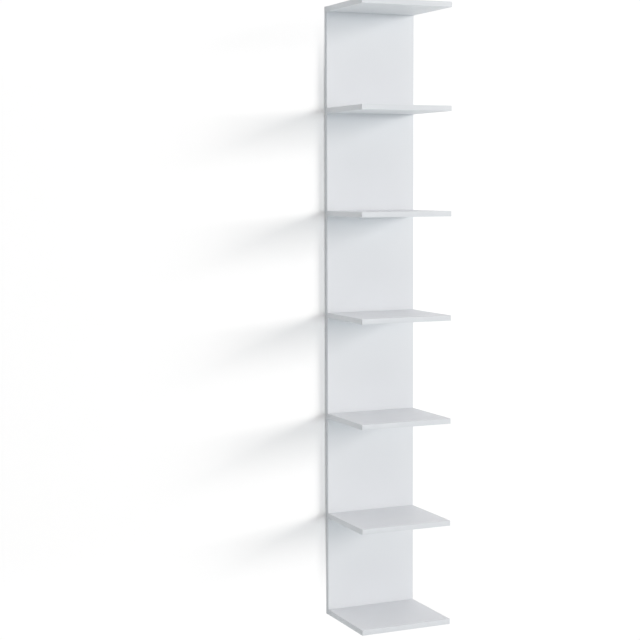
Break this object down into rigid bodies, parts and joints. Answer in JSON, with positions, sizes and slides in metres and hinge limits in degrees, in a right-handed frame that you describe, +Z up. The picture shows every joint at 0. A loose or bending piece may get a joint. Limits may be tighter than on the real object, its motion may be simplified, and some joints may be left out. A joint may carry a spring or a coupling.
{
  "type": "wall shelf",
  "caption": "Tall narrow wall shelf: equal square-edged white shelves fixed from behind to a full-height back panel, which hangs flat on the wall on keyhole plates.",
  "frame": {"origin": "middle of the back panel's rear face, which lies on the wall", "axes": "+Z up, +Y into the wall, +X to the right as seen from the front; the shelves reach along -Y"},
  "size_m": [0.3, 0.266, 1.9],
  "materials": {
    "board": "white melamine-faced chipboard, fine satin texture",
    "edging": "white plastic edging, satin",
    "zinc": "zinc-plated steel",
    "beech": "plain beech, fluted"
  },
  "bodies": {
    "root": {"back_panel": "board", "panel_edging_left": "edging", "panel_edging_right": "edging", "panel_edging_top": "edging", "panel_edging_bottom": "edging", "shelf_1": "board", "shelf_1_edging": "edging", "shelf_1_screw_left": "zinc", "shelf_1_dowel_left": "beech", "shelf_1_screw_right": "zinc", "shelf_1_dowel_right": "beech", "shelf_2": "board", "shelf_2_edging": "edging", "shelf_2_screw_left": "zinc", "shelf_2_dowel_left": "beech", "shelf_2_screw_right": "zinc", "shelf_2_dowel_right": "beech", "shelf_3": "board", "shelf_3_edging": "edging", "shelf_3_screw_left": "zinc", "shelf_3_dowel_left": "beech", "shelf_3_screw_right": "zinc", "shelf_3_dowel_right": "beech", "shelf_4": "board", "shelf_4_edging": "edging", "shelf_4_screw_left": "zinc", "shelf_4_dowel_left": "beech", "shelf_4_screw_right": "zinc", "shelf_4_dowel_right": "beech", "shelf_5": "board", "shelf_5_edging": "edging", "shelf_5_screw_left": "zinc", "shelf_5_dowel_left": "beech", "shelf_5_screw_right": "zinc", "shelf_5_dowel_right": "beech", "shelf_6": "board", "shelf_6_edging": "edging", "shelf_6_screw_left": "zinc", "shelf_6_dowel_left": "beech", "shelf_6_screw_right": "zinc", "shelf_6_dowel_right": "beech", "shelf_7": "board", "shelf_7_edging": "edging", "shelf_7_screw_left": "zinc", "shelf_7_dowel_left": "beech", "shelf_7_screw_right": "zinc", "shelf_7_dowel_right": "beech", "hanger_top_left": "zinc", "hanger_top_left_screw_upper": "zinc", "hanger_top_left_screw_lower": "zinc", "hanger_top_right": "zinc", "hanger_top_right_screw_upper": "zinc", "hanger_top_right_screw_lower": "zinc", "hanger_bottom_left": "zinc", "hanger_bottom_left_screw_upper": "zinc", "hanger_bottom_left_screw_lower": "zinc", "hanger_bottom_right": "zinc", "hanger_bottom_right_screw_upper": "zinc", "hanger_bottom_right_screw_lower": "zinc"}
  },
  "joints": []
}
